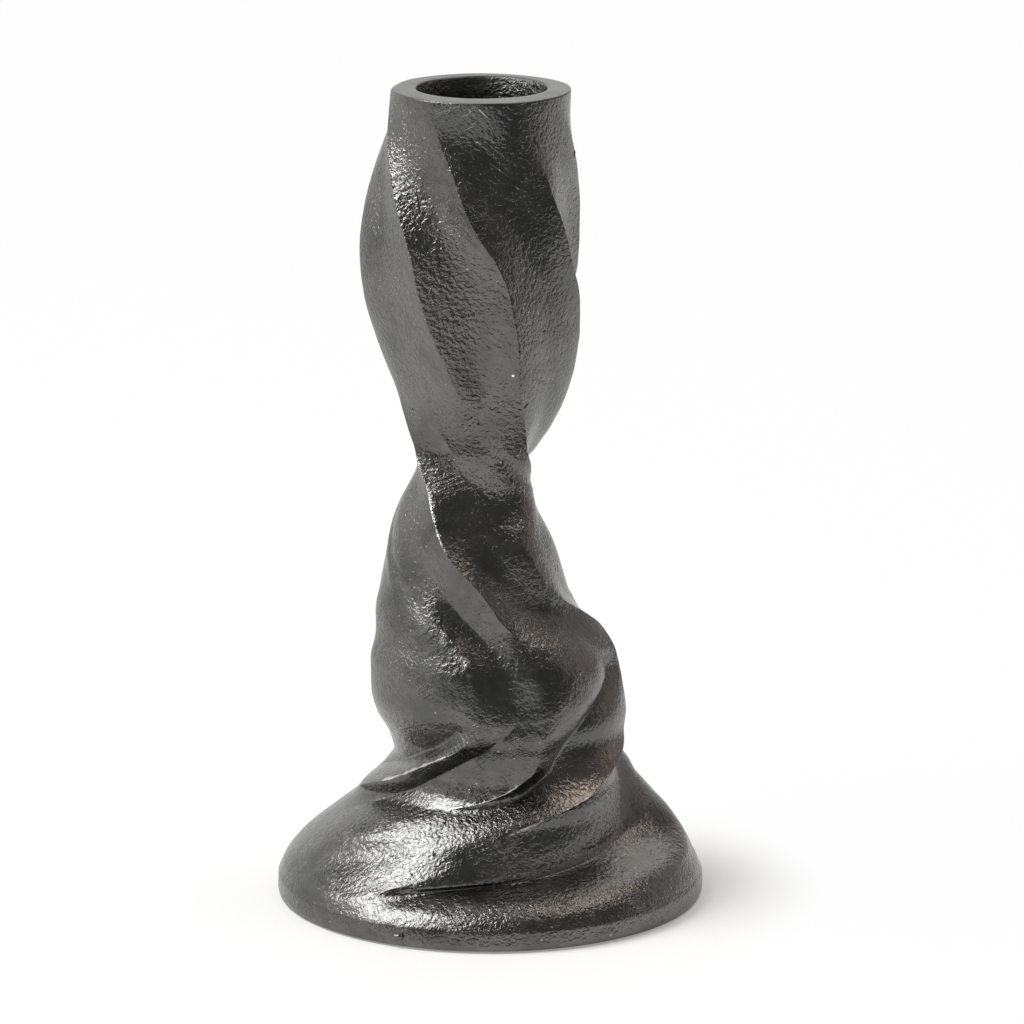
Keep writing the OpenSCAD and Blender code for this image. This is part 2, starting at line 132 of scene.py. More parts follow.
# One table a hollow: height share, where it lies between its two crests, its
# depth as a share of the reach, how sharp its bottom is. Three hollows end
# alike in the cup, and the three at the back are alike all the way up.
CUP_HOLLOW_SHARES = ((0.875, 0.5, 0.12), (0.938, 0.5, 0.08), (1, 0.5, 0.02))
REAR_HOLLOW_SHARES = (
    (0, 0.5), (0.05, 0.5), (0.088, 0.5, 0.025, 0.2), (0.125, 0.5, 0.08, 0.4),
    (0.175, 0.45, 0.15, 0.5), (0.238, 0.4, 0.17, 0.4), (0.3, 0.45, 0.1), (0.375, 0.5, 0.15),
    (0.469, 0.5, 0.18), (0.538, 0.5, 0.16), (0.625, 0.5, 0.13), (0.75, 0.5, 0.13),
    (0.85, 0.5, 0.12), (0.9, 0.5, 0.08), (0.938, 0.5, 0.045), (0.975, 0.5, 0.015), (1, 0.5, 0.005),
)
HOLLOW_SHARES = (
    ((0, 0.5), (0.075, 0.5), (0.1, 0.45, 0.02, 0.3), (0.125, 0.4, 0.06, 0.6),
     (0.15, 0.3, 0.12, 0.8), (0.175, 0.24, 0.08, 0.9), (0.2, 0.27, 0.06, 0.9),
     (0.228, 0.38, 0.05, 0.8), (0.25, 0.55, 0.05, 0.6), (0.28, 0.5, 0.06, 0.1),
     (0.3, 0.45, 0.08, 0.1), (0.325, 0.45, 0.11, 0.2), (0.35, 0.45, 0.13, 0.4),
     (0.37, 0.45, 0.13, 0.3), (0.39, 0.45, 0.11, 0.1), (0.42, 0.5, 0.1), (0.47, 0.5, 0.1),
     (0.505, 0.5, 0.12), (0.54, 0.5, 0.12), (0.58, 0.5, 0.1), (0.75, 0.5, 0.12),
     (0.938, 0.5, 0.06), (1, 0.5, 0.01)),
    ((0, 0.5), (0.1, 0.5, 0.01), (0.12, 0.45, 0.02, 0.3), (0.132, 0.4, 0.04, 0.7),
     (0.143, 0.34, 0.07, 0.9), (0.16, 0.25, 0.12, 0.9), (0.186, 0.22, 0.17, 0.9),
     (0.213, 0.28, 0.18, 0.9), (0.235, 0.42, 0.17, 0.9), (0.252, 0.6, 0.16, 0.9),
     (0.268, 0.78, 0.14, 0.9), (0.285, 0.88, 0.11, 0.8), (0.31, 0.78, 0.1, 0.4),
     (0.34, 0.6, 0.11, 0.1), (0.375, 0.48, 0.13), (0.42, 0.45, 0.15), (0.47, 0.45, 0.17),
     (0.505, 0.45, 0.22), (0.53, 0.45, 0.22), (0.555, 0.45, 0.22, 0.2), (0.58, 0.45, 0.18, 0.4),
     (0.605, 0.5, 0.15, 0.3), (0.63, 0.5, 0.13, 0.2), (0.66, 0.5, 0.12), (0.75, 0.5, 0.12),
     *CUP_HOLLOW_SHARES),
    ((0, 0.5), (0.025, 0.25, 0.005), (0.038, 0.12, 0.02, 0.2), (0.048, 0.11, 0.05, 0.3),
     (0.056, 0.16, 0.12, 0.4), (0.063, 0.38, 0.21, 0.3), (0.07, 0.57, 0.26, 0.1),
     (0.079, 0.67, 0.27), (0.092, 0.7, 0.25), (0.11, 0.69, 0.21), (0.135, 0.69, 0.17, 0.1),
     (0.169, 0.7, 0.15, 0.2), (0.206, 0.6, 0.14, 0.2), (0.281, 0.5, 0.12), (0.375, 0.5, 0.06),
     (0.45, 0.5, 0.04), (0.485, 0.5, 0.02), (0.51, 0.5, 0.02), (0.535, 0.5, 0.08, 0.2),
     (0.56, 0.5, 0.11, 0.2), (0.625, 0.5, 0.11), (0.75, 0.5, 0.12), *CUP_HOLLOW_SHARES),
    REAR_HOLLOW_SHARES,
    REAR_HOLLOW_SHARES,
    REAR_HOLLOW_SHARES,
    ((0, 0.5), (0.075, 0.5), (0.095, 0.5, 0.02), (0.112, 0.5, 0.03), (0.13, 0.45, 0.04, 0.1),
     (0.15, 0.4, 0.06, 0.3), (0.168, 0.52, 0.1, 0.5), (0.185, 0.68, 0.12, 0.5),
     (0.204, 0.78, 0.12, 0.5), (0.221, 0.84, 0.11, 0.5), (0.237, 0.88, 0.07, 0.4),
     (0.255, 0.75, 0.02), (0.28, 0.5, 0.01), (0.3, 0.5, 0.01), (0.36, 0.5), (0.4, 0.5, -0.01),
     (0.43, 0.5, -0.02), (0.48, 0.5, -0.03), (0.505, 0.5, -0.02), (0.535, 0.5, 0.06),
     (0.563, 0.5, 0.14), (0.625, 0.5, 0.13), (0.75, 0.5, 0.13), *CUP_HOLLOW_SHARES),
)


@dataclass(frozen=True)
class FoldTable:
    """Values given at heights up the form, read smoothly in between.

    A row may leave out zeros at its end.
    """

    rows: tuple[tuple[float, ...], ...]

    def value(self, column: int, at: np.ndarray) -> np.ndarray:
        """Reads one column at any heights, never past its neighbours.

        Args:
            column: which value of each row.
            at: height shares from 0 to 1.

        Returns:
            One value for each height.
        """
        heights = np.array([row[0] for row in self.rows])
        values = np.array([(*row, 0, 0)[column] for row in self.rows], dtype=float)
        spans = np.diff(heights)
        rises = np.diff(values) / spans
        slopes = np.zeros_like(values)
        below, above = rises[:-1], rises[1:]
        agree = below * above > 0
        total = np.where(agree, below + above, 1.0)
        slopes[1:-1] = np.where(agree, 2 * below * above / total, 0.0)
        slopes[0], slopes[-1] = rises[0], rises[-1]
        seat = np.clip(np.searchsorted(heights, at, side="right") - 1, 0, len(heights) - 2)
        t = (at - heights[seat]) / spans[seat]
        tt, ttt = t * t, t * t * t
        return (
            (2 * ttt - 3 * tt + 1) * values[seat]
            + (ttt - 2 * tt + t) * spans[seat] * slopes[seat]
            + (3 * tt - 2 * ttt) * values[seat + 1]
            + (ttt - tt) * spans[seat] * slopes[seat + 1]
        )


# Node helpers


class SocketKind(Enum):
    """The sort of socket on a node group."""

    VALUE = "NodeSocketFloat"
    VECTOR = "NodeSocketVector"


@dataclass(frozen=True)
class NodeBoard:
    """Adds and wires nodes in one material or node group."""

    tree: NodeTree

    def fill(self, node: Node, inputs: dict) -> None:
        """Fills a node's sockets.

        Args:
            node: the node.
            inputs: socket name or number to a plain value or an output socket.
        """
        for key, given in inputs.items():
            if isinstance(given, NodeSocket):
                self.tree.links.new(given, node.inputs[key])
            else:
                node.inputs[key].default_value = given

    def add(self, kind: str, inputs: dict | None = None, **options: object) -> Node:
        """Adds a node, sets its options and fills its sockets.

        Args:
            kind: the node's type name.
            inputs: socket name or number to a plain value or an output socket.
            **options: attributes of the node.

        Returns:
            The new node.
        """
        node = self.tree.nodes.new(kind)
        for name, option in options.items():
            setattr(node, name, option)
        self.fill(node, inputs or {})
        return node

    def math(self, kind: str, *given: object) -> NodeSocket:
        """Adds a Math node over the given values and returns its result."""
        return self.add("ShaderNodeMath", dict(enumerate(given)), operation=kind).outputs[0]

    def ramp(self, source: NodeSocket, low: object, high: float,
             to_low: float = 0.0, to_high: float = 1.0) -> NodeSocket:
        """Maps a value from one range to another, eased at both ends.

        Args:
            source: the value read.
            low: source value that gives to_low.
            high: source value that gives to_high.
            to_low: result at low.
            to_high: result at high.

        Returns:
            The mapped value.
        """
        node = self.add(
            "ShaderNodeMapRange",
            {"Value": source, "From Min": low, "From Max": high,
             "To Min": to_low, "To Max": to_high},
            interpolation_type="SMOOTHSTEP")
        return node.outputs["Result"]

    def mix_colour(self, factor: object, first: object, second: object) -> NodeSocket:
        """Mixes two colours by a factor and returns the result."""
        sockets = {0: factor, 6: first, 7: second}
        return self.add("ShaderNodeMix", sockets, data_type="RGBA").outputs[2]

    def noise(self, position: object, size: float, detail: float = 2.0,
              roughness: float = 0.5, distortion: float = 0.0) -> NodeSocket:
        """Noise whose main lumps measure about the given size in metres."""
        node = self.add(
            "ShaderNodeTexNoise",
            {"Vector": position, "Scale": 1.0 / size, "Detail": detail,
             "Roughness": roughness, "Distortion": distortion})
        return node.outputs["Fac"]

    def dots(self, position: object, gap: float, full: float, clear: float) -> NodeSocket:
        """Scatters soft round dots, one in each cell.

        Args:
            position: the position socket.
            gap: about how far apart the dots lie, in metres.
            full: share of the gap within which a dot is solid.
            clear: share of the gap at which it has faded.

        Returns:
            1 in a dot and 0 between them.
        """
        cells = self.add("ShaderNodeTexVoronoi", {"Vector": position, "Scale": 1 / gap})
        return self.ramp(cells.outputs["Distance"], full, clear, 1.0, 0.0)


def start_group(name: str, takes: dict[str, object],
                gives: tuple[str, ...]) -> tuple[NodeTree, NodeBoard]:
    """Starts a shader node group with named sockets.

    Args:
        name: the group's name.
        takes: name and default of each input; three numbers make a vector.
        gives: name of each output, a value.

    Returns:
        The group and a board to build it on.
    """
    tree = bpy.data.node_groups.new(name, "ShaderNodeTree")
    for label, default in takes.items():
        kind = SocketKind.VECTOR if isinstance(default, tuple) else SocketKind.VALUE
        socket = tree.interface.new_socket(name=label, in_out="INPUT", socket_type=kind.value)
        socket.default_value = default
    for label in gives:
        tree.interface.new_socket(name=label, in_out="OUTPUT", socket_type=SocketKind.VALUE.value)
    return tree, NodeBoard(tree)


@dataclass
class CastEffects:
    """Node groups that the casting's finishes share, with their sizes."""

    lump: float = 0.85 * MM
    cell: float = 1.0 * MM
    grain: float = 0.3 * MM
    patch: float = 13 * MM
    mottle: float = 2.6 * MM
    pit_gap: float = 3.4 * MM
    pit_patch: float = 6.5 * MM
    pit_depth: float = 1.6
    bare_gap: float = 1.7 * MM
    bare_patch: float = 3.1 * MM
    scratch: float = 0.38 * MM
    scratch_stretch: float = 0.09
    scratch_patch: float = 9 * MM

    @cached_property
    def pebble(self) -> NodeTree:
        """Builds the pebbled skin that sand leaves on cast metal, once.

        Returns:
            A group that turns a position into a height, a tone, a gloss
            pattern, pits and bare bright grains.
        """
        tree, board = start_group(
            "Cast Pebble", {"Position": (0, 0, 0), "Coarse": 1.0, "Fine": 0.4, "Pits": 1.0},
            ("Height", "Tone", "Gloss", "Pit", "Sparkle"))
        given = board.add("NodeGroupInput").outputs
        place = given["Position"]
        lumps = board.noise(place, self.lump, 1.0, 0.4, 0.8)
        cells = board.add(
            "ShaderNodeTexVoronoi",
            {"Vector": place, "Scale": 1 / self.cell, "Smoothness": 0.45},
            feature="SMOOTH_F1")
        ridges = board.math("MULTIPLY", cells.outputs["Distance"], 0.5)
        coarse = board.math("MULTIPLY", board.math("SUBTRACT", lumps, ridges), given["Coarse"])
        fine = board.math("MULTIPLY", board.noise(place, self.grain, 2.0, 0.6), given["Fine"])
        patches = board.noise(place, self.patch)
        strength = board.ramp(patches, 0.35, 0.65, 0.55, 1.15)
        worn = board.math("MULTIPLY", board.math("ADD", coarse, fine), strength)
        rare = board.ramp(board.noise(place, self.pit_patch, 1.0), 0.56, 0.64)
        pit = board.math("MULTIPLY", board.dots(place, self.pit_gap, 0.05, 0.12), rare)
        pit = board.math("MULTIPLY", pit, given["Pits"])
        height = board.math("SUBTRACT", worn, board.math("MULTIPLY", pit, self.pit_depth))
        few = board.ramp(board.noise(place, self.bare_patch, 1.0), 0.5, 0.62)
        sparkle = board.math("MULTIPLY", board.dots(place, self.bare_gap, 0.06, 0.14), few)
        mottle = board.noise(place, self.mottle, 3.0, 0.6)
        tone = board.math(
            "ADD", board.math("MULTIPLY", patches, 0.6), board.math("MULTIPLY", mottle, 0.4))
        board.add("NodeGroupOutput", {
            "Height": height, "Tone": board.ramp(tone, 0.38, 0.62),
            "Gloss": board.ramp(mottle, 0.3, 0.7), "Pit": pit, "Sparkle": sparkle})
        return tree

    @cached_property
    def file_marks(self) -> NodeTree:
        """Builds the scattered scratches that fettling leaves, once.

        Returns:
            A group that turns a position into a height.
        """
        tree, board = start_group(
            "File Marks", {"Position": (0, 0, 0), "Turn": (0, 0, 0), "Spread": 0.6}, ("Height",))
        given = board.add("NodeGroupInput").outputs
        turned = board.add(
            "ShaderNodeVectorRotate", {"Vector": given["Position"], "Rotation": given["Turn"]},
            rotation_type="EULER_XYZ")
        drawn = board.add(
            "ShaderNodeMapping",
            {"Vector": turned.outputs[0],
             "Scale": (self.scratch_stretch, self.scratch_stretch, 1.0)})
        grooves = board.ramp(board.noise(drawn.outputs[0], self.scratch, 2.0, 0.65), 0.56, 0.66)
        where = board.noise(given["Position"], self.scratch_patch, 1.0)
        mark = board.math("MULTIPLY", grooves, board.ramp(where, given["Spread"], 0.72))
        board.add("NodeGroupOutput", {"Height": board.math("MULTIPLY", mark, -1.0)})
        return tree

    @cached_property
    def spot(self) -> NodeTree:
        """Builds the soft ellipsoid that bounds one mark, once.

        Returns:
            A group that turns a position into a mask.
        """
        tree, board = start_group(
            "Soft Spot", {"Position": (0, 0, 0), "Middle": (0, 0, 0), "Turn": (0, 0, 0),
                          "Reach": (MM, MM, MM), "Feather": 0.5}, ("Mask",))
        given = board.add("NodeGroupInput").outputs
        inside = board.add(
            "ShaderNodeMapping",
            {"Vector": given["Position"], "Location": given["Middle"],
             "Rotation": given["Turn"], "Scale": given["Reach"]}, vector_type="TEXTURE")
        away = board.add("ShaderNodeVectorMath", {0: inside.outputs[0]}, operation="LENGTH")
        full = board.math("SUBTRACT", 1.0, given["Feather"])
        board.add("NodeGroupOutput",
                  {"Mask": board.ramp(away.outputs["Value"], full, 1.0, 1.0, 0.0)})
        return tree


class Tone(Enum):
    """Colours that a mark on the skin takes."""

    SCRATCH = (0.045, 0.04, 0.037, 1)
    PIT = (0.008, 0.008, 0.008, 1)
    GRAIN_PIT = (0.03, 0.03, 0.03, 1)
    SPECK = (0.9, 0.89, 0.87, 1)
    # Painted warm reflection: a lighter brown for the front fold.
    PATINA = (0.2, 0.182, 0.168, 1)
    SCUFF = (0.42, 0.41, 0.4, 1)
    # Rubbed crests, light enough to paint the thin highlight along them.
    WORN = (0.62, 0.61, 0.59, 1)


@dataclass(frozen=True)
class Mark:
    """A small mark or rubbed patch on the skin, as a soft ellipsoid.

    Middle and reach are in millimetres, the turn in degrees.
    """

    tone: Tone
    middle: Triple
    reach: Triple
    turn: Triple = (0, 0, 0)
    feather: float = 0.5

    def mask(self, board: NodeBoard, place: NodeSocket, effects: CastEffects) -> NodeSocket:
        """Adds the mark's mask to a material.

        Args:
            board: the material's board.
            place: the position socket.
            effects: the groups made once for the whole part.

        Returns:
            1 in the middle of the mark and 0 outside.
        """
        node = board.add(
            "ShaderNodeGroup",
            {"Position": place, "Middle": [value * MM for value in self.middle],
             "Turn": [math.radians(value) for value in self.turn],
             "Reach": [value * MM for value in self.reach], "Feather": self.feather},
            node_tree=effects.spot)
        return node.outputs["Mask"]


# Four nicks under the cup's front, a pale speck, two pits, a lighter brown band
# over the front fold that paints a warm reflection, and three scuffs below the rim.
SKIN_MARKS = (
    Mark(Tone.SCRATCH, (-3.9, -16.6, 106.25), (2.9, 2.5, 0.17), (0, 7.7, 0)),
    Mark(Tone.SCRATCH, (-3.5, -16.5, 104.9), (3.05, 2.5, 0.19), (0, 11.4, 0)),
    Mark(Tone.SCRATCH, (-3.0, -16.2, 103.2), (2.15, 2.5, 0.16), (0, 5.9, 0)),
    Mark(Tone.SCRATCH, (-3.3, -16.0, 102.3), (2.35, 2.5, 0.19), (0, 10.8, 0)),
    Mark(Tone.SPECK, (4.4, -17.0, 107.3), (0.34, 1.0, 0.34)),
    Mark(Tone.PIT, (10.4, -12.0, 114.9), (0.42, 1.5, 0.34)),
    Mark(Tone.PIT, (6.9, -13.8, 100.7), (1.0, 1.5, 0.26), (0, -45, 0)),
    # A lighter brown band over the front fold, painted as a warm reflection.
    Mark(Tone.PATINA, (20.0, -14.5, 27.8), (16.0, 6.0, 4.4), (0, -20.5, 48.8), 0.7),
    Mark(Tone.SCUFF, (-1.4, -18.0, 158.2), (1.65, 2.5, 0.12), (0, 44.6, 0)),
    Mark(Tone.SCUFF, (-1.0, -18.0, 151.3), (2.6, 2.5, 0.12), (0, 37.7, 0)),
    Mark(Tone.SCUFF, (1.7, -17.6, 147.2), (2.9, 2.5, 0.13), (0, 36.8, 0)),
)


def start_material(name: str) -> tuple[Material, NodeBoard, Node, NodeSocket]:
    """Starts a material with a Principled shader and object coordinates.

    Args:
        name: the material's name.

    Returns:
        The material, its board, its shader and the position socket.
    """
    material, board = blank_material(name)
    shader = board.add("ShaderNodeBsdfPrincipled")
    board.add("ShaderNodeOutputMaterial", {"Surface": shader.outputs[0]})
    place = board.add("ShaderNodeTexCoord").outputs["Object"]
    return material, board, shader, place


def blank_material(name: str) -> tuple[Material, NodeBoard]:
    """Starts a material with no node in it and returns it with its board."""
    material = bpy.data.materials.new(name)
    material.use_nodes = True
    material.node_tree.nodes.clear()
    return material, NodeBoard(material.node_tree)


@dataclass(frozen=True)
class CastFinish:
    """Metal of the casting: its colours, gloss and how rough its skin is."""

    name: str
    dark: Colour = (0.118, 0.117, 0.115, 1)
    light: Colour = (0.168, 0.165, 0.160, 1)
    roughness: float = 0.24
    roughness_swing: float = 0.08
    coarse: float = 1.0
    cup_grain: float = 1.4
    cup_from: float = 60 * MM
    cup_full: float = 105 * MM
    fine: float = 0.38
    pits: float = 1.0
    depth: float = 0.18 * MM
    marks: float = 0.35
    mark_fields: tuple[tuple[Triple, float], ...] = (
        ((0.5, 0.35, 0.0), 0.5), ((-0.3, -0.75, 0.4), 0.56))
    spots: tuple[Mark, ...] = ()

    def build(self, effects: CastEffects) -> Material:
        """Builds the material from the shared groups.

        Args:
            effects: the groups made once for the whole part.

        Returns:
            The finished material.
        """
        material, board, shader, place = start_material(self.name)
        up = board.add("ShaderNodeSeparateXYZ", {"Vector": place}).outputs["Z"]
        coarse = board.ramp(
            up, self.cup_from, self.cup_full, self.coarse, self.coarse * self.cup_grain)
        pebble = board.add(
            "ShaderNodeGroup",
            {"Position": place, "Coarse": coarse, "Fine": self.fine, "Pits": self.pits},
            node_tree=effects.pebble).outputs
        first, second = (
            board.add("ShaderNodeGroup", {"Position": place, "Turn": turn, "Spread": spread},
                      node_tree=effects.file_marks).outputs["Height"]
            for turn, spread in self.mark_fields)
        marks = board.math("MULTIPLY", board.math("ADD", first, second), self.marks)
        height = board.math("ADD", pebble["Height"], marks)
        bump = board.add("ShaderNodeBump", {"Distance": self.depth, "Height": height})
        colour = board.mix_colour(pebble["Tone"], self.dark, self.light)
        colour = board.mix_colour(pebble["Pit"], colour, Tone.GRAIN_PIT.value)
        colour = board.mix_colour(pebble["Sparkle"], colour, Tone.SCUFF.value)
        # Rubbed crests painted light: the tone stands in for the thin highlight along each crest,
        # broken up by the gloss pattern.
        wear_and_glint = board.add("ShaderNodeAttribute", attribute_name=WEAR_AND_GLINT).outputs["Fac"]
        broken = board.math("ADD", wear_and_glint, board.math("MULTIPLY", pebble["Gloss"], 0.5))
        colour = board.mix_colour(board.ramp(broken, 0.55, 1.1), colour, Tone.WORN.value)
        for spot in self.spots:
            colour = board.mix_colour(spot.mask(board, place, effects), colour, spot.tone.value)
        rough = board.math("MULTIPLY_ADD", pebble["Gloss"], self.roughness_swing,
                           self.roughness - self.roughness_swing / 2)
        board.fill(shader, {"Metallic": 1.0, "Base Color": colour, "Roughness": rough,
                            "Normal": bump.outputs[0]})
        return material


@dataclass(frozen=True)
class FeltFinish:
    """Pressed wool felt: matted fibres with a soft sheen."""

    name: str = "felt"
    dark: Colour = (0.022, 0.022, 0.024, 1)
    light: Colour = (0.06, 0.06, 0.063, 1)
    mat: float = 2.2 * MM
    fibre: float = 0.25 * MM
    stretch: float = 0.16
    depth: float = 0.12 * MM

    def build(self) -> Material:
        """Builds the material.

        Returns:
            The finished material.
        """
        material, board, shader, place = start_material(self.name)
        mats = board.noise(place, self.mat, 3.0, 0.6, 1.5)
        along, across = (
            board.noise(
                board.add("ShaderNodeMapping",
                          {"Vector": place, "Rotation": (0, 0, turn), "Scale": scale}).outputs[0],
                self.fibre, 2.0, 0.7, 0.8)
            for turn, scale in ((0.7, (1.0, self.stretch, 1.0)), (-0.5, (self.stretch, 1.0, 1.0))))
        fibres = board.math("ADD", along, across)
        height = board.math("ADD", board.math("MULTIPLY", mats, 0.8), fibres)
        bump = board.add("ShaderNodeBump", {"Distance": self.depth, "Height": height})
        board.fill(shader, {
            "Roughness": 0.95, "Sheen Weight": 0.35, "Sheen Roughness": 0.5,
            "Specular IOR Level": 0.15, "Normal": bump.outputs[0],
            "Base Color": board.mix_colour(board.ramp(fibres, 0.8, 1.2), self.dark, self.light)})
        return material


@dataclass(frozen=True)
class AdhesiveFinish:
    """Thin double sided film, slightly cloudy and yellow."""

    name: str = "adhesive"
    dark: Colour = (0.66, 0.61, 0.47, 1)
    light: Colour = (0.76, 0.72, 0.6, 1)
    cloud: float = 5 * MM

    def build(self) -> Material:
        """Builds the material.

        Returns:
            The finished material.
        """
        material, board, shader, place = start_material(self.name)
        cloud = board.noise(place, self.cloud, 3.0, 0.6)
        board.fill(shader, {
            "Base Color": board.mix_colour(board.ramp(cloud, 0.35, 0.65), self.dark, self.light),
            "Roughness": board.ramp(cloud, 0.3, 0.7, 0.35, 0.55)})
        return material


# The pieces


class Zone(Enum):
    """Material slots of the casting."""

    SKIN = 0
    MACHINED = 1
    BORE = 2


@dataclass(frozen=True)
class WornGlintEdge:
    """A stretch of one crest that hands have rubbed bare, painted bright as the highlight along
    its edge.
    """

    crest: int
    low: float
    high: float
    columns: float
    wear_and_glint: float


@dataclass
class Casting:
    """The folded body with its bore, rim and underside, as one closed skin.

    The stem's rings lie closer where the folds are fine: once the share of
    rings in row_shares is used, they stand at the height in row_height_shares.
    """

    height: float = 160 * MM
    base: float = 0.4 * MM
    foot_r: float = 42 * MM
    bore_r: float = 12.5 * MM
    bore_depth: float = 28 * MM
    bore_left: float = 1.6 * MM
    bore_break: float = 0.4 * MM
    bore_cone: float = 3.5 * MM
    recess_r: float = 36 * MM
    recess_depth: float = 1.8 * MM
    recess_break: float = 0.25 * MM
    rim_round: float = 0.35 * MM
    cusp_power: float = 1.8
    column_ease: float = 1.15
    crest_steps: int = 24
    stem_rows: int = 252
    row_shares: tuple[float, ...] = (0, 0.055, 0.5, 0.62)
    row_height_shares: tuple[float, ...] = (0, 0.028, 0.36, 0.5)
    stem_end: float = 1.2
    roof_shares: tuple[float, ...] = (0, 0.3, 0.7)
    land_shares: tuple[float, ...] = (0.93, 0.985)
    rim_shares: tuple[float, ...] = (0.3, 0.65, 0.9, 1.0)
    mouth_shares: tuple[float, ...] = (0.25, 0.5, 0.75, 1.0)
    wall_rows: int = 9
    cone_shares: tuple[float, ...] = (0.05, 0.5, 1.0)
    waves: tuple[Pair, ...] = ((0.07, 90), (0.03, 300), (0.025, 650))
    skin_in: float = 0.04 * MM
    calm: float = 6 * MM
    rim_calm: float = 0.25
    near: float = 0.1 * MM
    near_bore: float = 0.5 * MM
    near_recess: float = 1.0 * MM
    near_zone: float = 0.3 * MM
    faces_up: float = 0.5
    faces_down: float = -0.9
    weld: float = 0.0005 * MM
    lump_swell: float = 0.35
    lump_pitch: float = 900
    nub_turn: float = -25.0
    nub_in: float = 0.1 * MM
    nub_up: float = 2.2 * MM
    nub_size: Triple = (1.2 * MM, 0.6 * MM, 0.7 * MM)
    burr_turn: float = 83.0
    burr_spot: Triple = (15.9 * MM, -2.3 * MM, 147.4 * MM)
    burr_size: Triple = (0.5 * MM, 0.45 * MM, 0.9 * MM)
    sharp_angle: float = 70.0
    wear_and_glint_rise: float = 6
    # Crests painted light, as rubbed metal and as the highlight along each edge.
    worn: tuple[WornGlintEdge, ...] = (
        WornGlintEdge(0, 0.142, 0.228, 5, 0.9), WornGlintEdge(1, 0.135, 0.175, 4, 0.8),
        WornGlintEdge(2, 0.09, 0.19, 3, 0.6), WornGlintEdge(0, 0.3, 0.38, 12, 0.5),
        WornGlintEdge(1, 0.44, 0.575, 3, 0.65))

    def __post_init__(self) -> None:
        """Reads the fold tables."""
        self.centre = FoldTable(CENTRE_SHARES)
        self.reach = FoldTable(REACH_SHARES)
        self.crests = [FoldTable(rows) for rows in CREST_SHARES]
        self.hollows = [FoldTable(rows) for rows in HOLLOW_SHARES]

    @property
    def around(self) -> int:
        """Columns of the skin, once round the form."""
        return 2 * self.crest_steps * len(self.crests)

    def falling(self, t: np.ndarray, sharp: np.ndarray, crease: np.ndarray) -> np.ndarray:
        """Share of a crest that is left on the way into its hollow.

        Args:
            t: 0 on the crest, 1 in the hollow.
            sharp: 0 for a round crest, 1 for a keen one.
            crease: 0 for a round hollow, 1 for a keen one.

        Returns:
            1 on the crest, 0 in the hollow.
        """
        return (
            sharp * crease * (1 - t)
            + sharp * (1 - crease) * (1 - t) ** self.cusp_power
            + (1 - sharp) * crease * (1 - t ** self.cusp_power)
            + (1 - sharp) * (1 - crease) * np.cos(math.pi / 2 * t) ** 2
        )

    def form_rings(self, at: np.ndarray) -> np.ndarray:
        """Works out the folded form's rings.

        Args:
            at: height shares of the rings.

        Returns:
            An array of rings by columns by three coordinates.
        """
        reach = self.foot_r * self.reach.value(1, at)
        crests = [
            (table.value(1, at), reach * (1 + table.value(3, at)), table.value(2, at))
            for table in self.crests
        ]
        first = crests[0]
        crests.append((first[0] + 360, first[1], first[2]))
        even = np.arange(self.crest_steps) / self.crest_steps
        steps, rises = even ** self.column_ease, 1 - (1 - even) ** self.column_ease
        angles, radii = [], []
        for index, table in enumerate(self.hollows):
            (a0, r0, s0), (a1, r1, s1) = crests[index], crests[index + 1]
            bias, depth = table.value(1, at), table.value(2, at)
            crease = table.value(3, at)[:, None]
            low_a = a0 + (a1 - a0) * bias
            low_r = (r0 + (r1 - r0) * bias) * (1 - depth)
            angles.append(a0[:, None] + (low_a - a0)[:, None] * steps)
            radii.append(low_r[:, None] + (r0 - low_r)[:, None]
                         * self.falling(steps[None], s0[:, None], crease))
            angles.append(low_a[:, None] + (a1 - low_a)[:, None] * rises)
            radii.append(low_r[:, None] + (r1 - low_r)[:, None]
                         * self.falling(1 - rises[None], s1[:, None], crease))
        turn = np.radians(np.concatenate(angles, axis=1))
        radius = np.concatenate(radii, axis=1)
        x = self.foot_r * self.centre.value(1, at)[:, None] + radius * np.sin(turn)
        y = self.foot_r * self.centre.value(2, at)[:, None] - radius * np.cos(turn)
        z = np.repeat((self.base + (self.height - self.base) * at)[:, None], self.around, axis=1)
        return np.stack([x, y, z], axis=-1)

    def loops(self) -> np.ndarray:
        """Lines up every loop of the skin, from the recess to the drill cone.

        Returns:
            An array of loops by columns by three coordinates.
        """
        shares = np.interp(
            np.linspace(0, 1, self.stem_rows), (*self.row_shares, 1),
            (*self.row_height_shares, 1 - self.stem_end * self.rim_round / self.height))
        stem = self.form_rings(shares)
        low, high = stem[0], self.form_rings(np.array([1.0]))[0]
        below = np.arctan2(low[:, 0], -low[:, 1])
        roof, small = self.base + self.recess_depth, self.recess_break

        def circle(turn: np.ndarray, radius: float, z: float, x: float = 0.0) -> np.ndarray:
            """One round loop about an upright axis."""
            return np.stack([x + radius * np.sin(turn), -radius * np.cos(turn),
                             np.full_like(turn, z)], axis=-1)

        under = [circle(below, share * self.recess_r, roof) for share in self.roof_shares]
        under += [circle(below, self.recess_r - small, roof)]
        under += [circle(below, self.recess_r, z) for z in (roof - small, self.base + small)]
        under += [circle(below, self.recess_r + small, self.base)]
        under += [low * (1, 1, 0) * share + (0, 0, self.base) for share in self.land_shares]
        middle = np.array([-self.bore_left, 0, 0])
        rim = []
        for share in self.rim_shares:
            swing = share * math.pi / 2
            inset = self.rim_round * (1 - math.cos(swing))
            z = self.height - self.rim_round * (1 - math.sin(swing))
            out = (high - middle) * (1, 1, 0)
            length = np.linalg.norm(out, axis=1, keepdims=True)
            rim.append(middle + out * (1 - inset / length) + (0, 0, z))
        inner = np.arctan2(high[:, 0] + self.bore_left, -high[:, 1])

        def bored(radius: float, z: float) -> np.ndarray:
            """One round loop about the bore's axis."""
            return circle(inner, radius, z, -self.bore_left)

